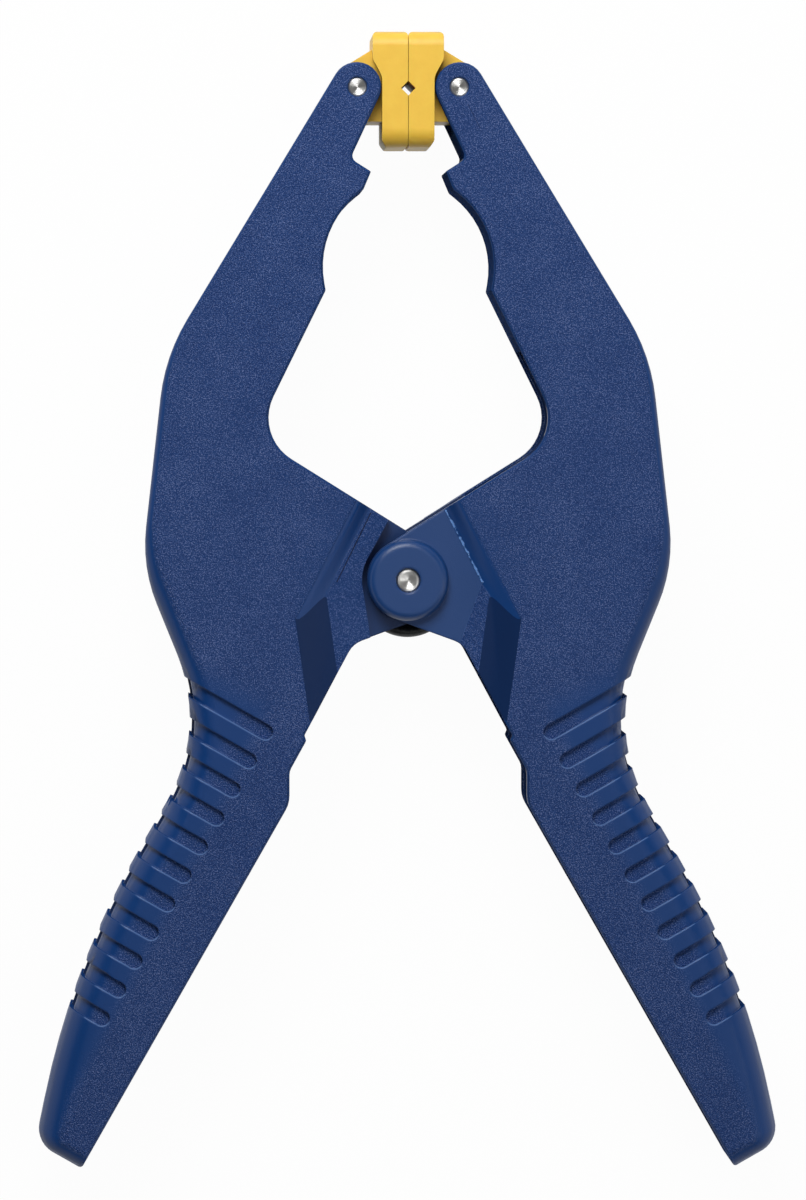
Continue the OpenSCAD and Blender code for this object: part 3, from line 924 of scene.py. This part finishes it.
@dataclass
class Pin:
    """One turned pin, with a rim round a shallow dish at each end."""

    node: str
    body: str
    place: Vector
    rim: float = 0.45 * MM
    dish: float = 0.0
    chamfer: float = 0.3 * MM
    around: int = 64
    dish_rings: int = 6
    sharp_deg: float = 20

    def profile(self, radius: float, half: float) -> list[tuple[float, float]]:
        """Returns the pin's half profile, from the middle of its lower end to that of its upper.

        Args:
            radius: The pin's radius.
            half: Half its length.

        Returns:
            Points as (distance from the axis, height).
        """
        steps = self.dish_rings
        lip = radius - self.chamfer - self.rim
        bowl = [(lip * k / steps, half - self.dish * (1 - (k / steps) ** 2))
                for k in range(steps + 1)]
        upper = bowl + [(radius - self.chamfer, half), (radius, half - self.chamfer)]
        lower = [(r, -z) for r, z in upper]
        return lower + upper[::-1]

    def build(self) -> None:
        """Makes the turned pin in place of its CAD node."""
        low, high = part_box(self.node)
        radius = (high.x - low.x) / 2
        profile = self.profile(radius, (high.z - low.z) / 2)
        middle = Vector((self.place.x, self.place.y, (high.z + low.z) / 2))
        work = bmesh.new()
        rings = []
        for r, z in profile:
            count = self.around if r > 0 else 1
            rings.append([work.verts.new(middle + Vector((
                r * math.cos(2 * math.pi * k / count), r * math.sin(2 * math.pi * k / count),
                z))) for k in range(count)])
        for lower, upper in zip(rings, rings[1:]):
            for k in range(self.around):
                j = (k + 1) % self.around
                corners = [lower[k % len(lower)], lower[j % len(lower)],
                           upper[j % len(upper)], upper[k % len(upper)]]
                face = work.faces.new(list(dict.fromkeys(corners)))
                face.smooth = True
        bmesh.ops.recalc_face_normals(work, faces=work.faces)
        mesh = bpy.data.meshes.new(f"{self.node}_turned")
        work.to_mesh(mesh)
        work.free()
        mesh.set_sharp_from_angle(angle=math.radians(self.sharp_deg))
        piece = new_object(f"{self.node}_turned", mesh)
        steel = TurnedSteel(f"steel_turned_{self.node}", axis=(self.place.x, self.place.y))
        mesh.materials.append(steel.material())
        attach(piece, self.body)
        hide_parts(self.node)
        LOG.info("pin %s: %d faces", self.node, len(mesh.polygons))


@dataclass
class TorsionSpring:
    """The wound spring: a coil below the pivot and two straight legs, as one drawn wire.

    Its middle turns are tighter than the outer ones by up to barrel.
    """

    plan: ClampPlan
    wire_radius: float = 1.2 * MM
    coil_radius: float = 9.05 * MM
    coil_drop: float = 1.95 * MM
    coil_length: float = 9.6 * MM
    leg_end: tuple[float, float] = (39.473 * MM, -33.870 * MM)
    barrel: float = 0.45 * MM
    barrel_power: float = 4.0
    turns: int = 3
    rings: int = 320
    sides: int = 24
    sharp_deg: float = 50

    def tree(self) -> Tree:
        """Builds the node tree that winds a wire along its path.

        Returns:
            The geometry node tree, with its sizes as inputs.
        """
        tree = bpy.data.node_groups.new("wound_wire", "GeometryNodeTree")
        face = tree.interface
        face.new_socket("Geometry", in_out="INPUT", socket_type="NodeSocketGeometry")
        for name in ("Wire Radius", "Coil Radius", "Coil Length", "Start Angle", "Wound Angle",
                     "Coil Drop", "Barrel", "Leg End X", "Leg End Y"):
            face.new_socket(name, in_out="INPUT", socket_type="NodeSocketFloat")
        face.new_socket("Finish", in_out="INPUT", socket_type="NodeSocketMaterial")
        face.new_socket("Geometry", in_out="OUTPUT", socket_type="NodeSocketGeometry")
        entry = add_node(tree, "NodeGroupInput").outputs
        points = self.rings + 3  # one leg's end, the coil with its last point, the other end
        line = add_node(tree, "GeometryNodeMeshLine", None, Count=points)
        index = add_node(tree, "GeometryNodeInputIndex").outputs[0]
        share = math_node(tree, "DIVIDE", math_node(tree, "SUBTRACT", index, 1.0),
                          float(self.rings))
        angle = math_node(tree, "MULTIPLY_ADD", share, entry["Wound Angle"], entry["Start Angle"])
        swell = math_node(tree, "MULTIPLY", math_node(tree, "MULTIPLY", share, 4.0),
                          math_node(tree, "SUBTRACT", 1.0, share))
        tight = math_node(tree, "POWER", swell, self.barrel_power)
        slack = math_node(tree, "MULTIPLY", tight, entry["Barrel"])
        reach = math_node(tree, "SUBTRACT", entry["Coil Radius"], slack)
        drop = math_node(tree, "SUBTRACT", entry["Coil Drop"], slack)
        coil_x = math_node(tree, "MULTIPLY", math_node(tree, "COSINE", angle), reach)
        coil_y = math_node(tree, "SUBTRACT",
                           math_node(tree, "MULTIPLY", math_node(tree, "SINE", angle), reach),
                           drop)
        rise = math_node(tree, "MULTIPLY", math_node(tree, "SUBTRACT", share, 0.5),
                         entry["Coil Length"])
        first = math_node(tree, "LESS_THAN", index, 0.5)
        last = math_node(tree, "GREATER_THAN", index, self.rings + 1.5)
        leg = math_node(tree, "ADD", first, last)
        side = math_node(tree, "SUBTRACT", first, last)
        keep = math_node(tree, "SUBTRACT", 1.0, leg)
        leg_x = math_node(tree, "MULTIPLY", side, entry["Leg End X"])
        leg_y = math_node(tree, "MULTIPLY", leg, entry["Leg End Y"])
        low_z = math_node(tree, "MULTIPLY", math_node(tree, "MULTIPLY", side, -0.5),
                          entry["Coil Length"])
        where = add_node(
            tree, "ShaderNodeCombineXYZ", None,
            X=math_node(tree, "MULTIPLY_ADD", coil_x, keep, leg_x),
            Y=math_node(tree, "MULTIPLY_ADD", coil_y, keep, leg_y),
            Z=math_node(tree, "MULTIPLY_ADD", rise, keep, low_z))
        placed = add_node(tree, "GeometryNodeSetPosition", None, Geometry=line.outputs[0],
                          Position=where.outputs[0])
        curve = add_node(tree, "GeometryNodeMeshToCurve", None, Mesh=placed.outputs[0])
        profile = add_node(tree, "GeometryNodeCurvePrimitiveCircle", {"mode": "RADIUS"},
                           Resolution=self.sides, Radius=entry["Wire Radius"])
        tube = add_node(tree, "GeometryNodeCurveToMesh", None, Curve=curve.outputs[0],
                        in1=profile.outputs[0])
        tube.inputs["Fill Caps"].default_value = True
        whole = add_node(tree, "GeometryNodeRealizeInstances", None, Geometry=tube.outputs[0])
        dressed = add_node(tree, "GeometryNodeSetMaterial", None, Geometry=whole.outputs[0],
                           Material=entry["Finish"])
        add_node(tree, "NodeGroupOutput", None, Geometry=dressed.outputs[0])
        return tree

    def start_angle(self) -> float:
        """Returns the angle round the coil where the right leg joins it."""
        away = Vector((self.leg_end[0], self.leg_end[1] + self.coil_drop))
        return math.atan2(away.y, away.x) + math.acos(self.coil_radius / away.length)

    def build(self) -> None:
        """Winds the spring in place of its CAD node."""
        piece = new_object("torsion_spring_wire", bpy.data.meshes.new("torsion_spring_wire"))
        tree = self.tree()
        start = self.start_angle()
        values = {
            "Wire Radius": self.wire_radius,
            "Coil Radius": self.coil_radius,
            "Coil Length": self.coil_length,
            "Start Angle": start,
            "Wound Angle": math.pi - 2 * start + 2 * math.pi * self.turns,
            "Coil Drop": self.coil_drop,
            "Barrel": self.barrel,
            "Leg End X": self.leg_end[0],
            "Leg End Y": self.leg_end[1],
            "Finish": WIRE.material(),
        }
        modifier = piece.modifiers.new("wind", "NODES")
        modifier.node_group = tree
        for socket in tree.interface.items_tree:
            if socket.in_out == "INPUT" and socket.name in values:
                modifier[socket.identifier] = values[socket.name]
        baked(piece)
        piece.data.transform(Matrix.Translation(self.plan.pivot))
        for face in piece.data.polygons:
            face.use_smooth = True
        piece.data.set_sharp_from_angle(angle=math.radians(self.sharp_deg))
        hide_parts("torsion_spring")
        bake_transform(piece)
        LOG.info("spring: %d faces", len(piece.data.polygons))


# ---------------------------------------------------------------- studio


@dataclass
class Studio:
    """Floor, lights and camera."""

    plan: ClampPlan
    picture: tuple[int, int] = (806, 1200)
    mm_per_pixel: float = 0.2065
    pivot_pixel: tuple[float, float] = (408.4, 580.6)
    plumb_pixel: tuple[float, float] = (200.0, 400.0)
    distance: float = 1.6
    sensor_mm: float = 36.0
    clip_end: float = 20.0
    floor_half: float = 4.0
    floor_gap: float = 0.02 * MM
    paper: str = "#f4f4f3"
    floor_white: float = 0.97
    surround: tuple[float, float] = (0.08, 0.12)
    surround_turn: tuple[float, float] = (-0.8, 0.6)
    wall_top: float = 0.3
    wall_soft: float = 0.2
    lamps: Sequence[tuple[str, tuple[float, float, float], float, float]] = field(
        default_factory=lambda: (
            ("key", (-0.10, 0.46, 0.50), 0.36, 3.6),
            ("fill", (0.32, -0.20, 1.00), 0.50, 1.4),
            ("right", (0.85, -0.15, 0.75), 0.40, 0.9),
        ))

    def build(self) -> None:
        """Sets the stage, the lamps and the camera."""
        self.floor()
        self.world()
        for name, place, size, watts in self.lamps:
            self.lamp(name, Vector(place), size, watts)
        self.camera()

    def floor(self) -> None:
        """Lays a pale floor that shows white and keeps the clamp's shadow."""
        mesh = bpy.data.meshes.new("floor")
        half = self.floor_half
        level = CAD_BOX[0][2] - self.floor_gap
        corners = [(x, y, level) for x, y in ((-half, -half), (half, -half), (half, half),
                                              (-half, half))]
        mesh.from_pydata(corners, [], [(0, 1, 2, 3)])
        floor = new_object("floor", mesh)
        material = bpy.data.materials.new("paper_pale")
        material.use_nodes = True
        tree = material.node_tree
        tree.nodes.clear()
        paper = add_node(tree, "ShaderNodeBsdfDiffuse", None, Color=linear_rgba(self.paper))
        white = add_node(tree, "ShaderNodeEmission", None, Color=(1.0, 1.0, 1.0, 1.0),
                         Strength=1.0)
        path = add_node(tree, "ShaderNodeLightPath").outputs
        share = math_node(tree, "MULTIPLY", seen_directly(tree, path), self.floor_white)
        mixed = add_node(tree, "ShaderNodeMixShader", None, in0=share, in1=paper.outputs[0],
                         in2=white.outputs[0])
        add_node(tree, "ShaderNodeOutputMaterial", None, Surface=mixed.outputs[0])
        mesh.materials.append(material)

    def world(self) -> None:
        """Sets a white wall that is seen all round, under a dim ceiling."""
        world = bpy.data.worlds.new("surround")
        bpy.context.scene.world = world
        world.use_nodes = True
        tree = world.node_tree
        tree.nodes.clear()
        path = add_node(tree, "ShaderNodeLightPath").outputs
        heading = add_node(tree, "ShaderNodeSeparateXYZ", None,
                           Vector=add_node(tree, "ShaderNodeTexCoord").outputs["Generated"])
        side = soft_step(tree, heading.outputs["X"], *self.surround_turn, *self.surround)
        low = soft_step(tree, heading.outputs["Z"], self.wall_top + self.wall_soft, self.wall_top)
        wall = math_node(tree, "MULTIPLY", seen_directly(tree, path), low)
        strength = math_node(tree, "MAXIMUM", wall, side)
        shade = add_node(tree, "ShaderNodeBackground", None, Color=(1.0, 1.0, 1.0, 1.0),
                         Strength=strength)
        add_node(tree, "ShaderNodeOutputWorld", None, Surface=shade.outputs[0])

    def lamp(self, name: str, place: Vector, size: float, watts: float) -> None:
        """Adds one square lamp that points at the clamp.

        Args:
            name: The lamp's name.
            place: Where it hangs, from the clamp's middle.
            size: Its width.
            watts: Its power.
        """
        light = bpy.data.lights.new(name, "AREA")
        light.size = size
        light.energy = watts
        lamp = bpy.data.objects.new(name, light)
        lamp.location = place
        lamp.rotation_euler = (-place).to_track_quat("-Z", "Y").to_euler()
        bpy.context.scene.collection.objects.link(lamp)

    def place_of(self, pixel: tuple[float, float]) -> Vector:
        """Returns the place on the levers' upper face that a point of the frame shows."""
        return Vector((
            (pixel[0] - self.pivot_pixel[0]) * self.mm_per_pixel * MM + self.plan.pivot.x,
            (self.pivot_pixel[1] - pixel[1]) * self.mm_per_pixel * MM + self.plan.pivot.y,
            self.plan.pivot.z + self.plan.half_thickness))

    def camera(self) -> None:
        """Sets a long lens plumb over the left jaw, turned towards the clamp's middle."""
        aim = self.place_of((self.picture[0] / 2, self.picture[1] / 2))
        eye = self.place_of(self.plumb_pixel) + Vector((0, 0, self.distance))
        back = (eye - aim).normalized()
        right = Vector((0, 1, 0)).cross(back).normalized()
        up = back.cross(right)
        lens = bpy.data.cameras.new("camera")
        lens.sensor_fit = "VERTICAL"
        lens.sensor_height = self.sensor_mm
        frame_height = self.picture[1] * self.mm_per_pixel * MM
        lens.lens = lens.sensor_height * (eye - aim).length / frame_height
        lens.clip_end = self.clip_end
        camera = bpy.data.objects.new("camera", lens)
        turn = Matrix((right, up, back)).transposed().to_4x4()
        camera.matrix_world = Matrix.Translation(eye) @ turn
        bpy.context.scene.collection.objects.link(camera)
        bpy.context.scene.camera = camera
        bpy.context.scene.view_settings.view_transform = "Standard"


def main() -> None:
    """Builds the clamp's looks in order."""
    logging.basicConfig(level=logging.INFO, format="%(name)s %(message)s")
    plan = ClampPlan.from_frame()
    Studio(plan).build()
    for side in Side:
        Lever(side, plan).build()
        Pad(side).build()
    Pin("pivot_pin", "left_arm", plan.pivot, dish=0.45 * MM).build()
    Pin("left_pad_pin", "left_arm", plan.left_pin, dish=0.06 * MM).build()
    Pin("right_pad_pin", "right_arm", plan.right_pin, dish=0.06 * MM).build()
    TorsionSpring(plan).build()


if __name__ == "__main__":
    main()
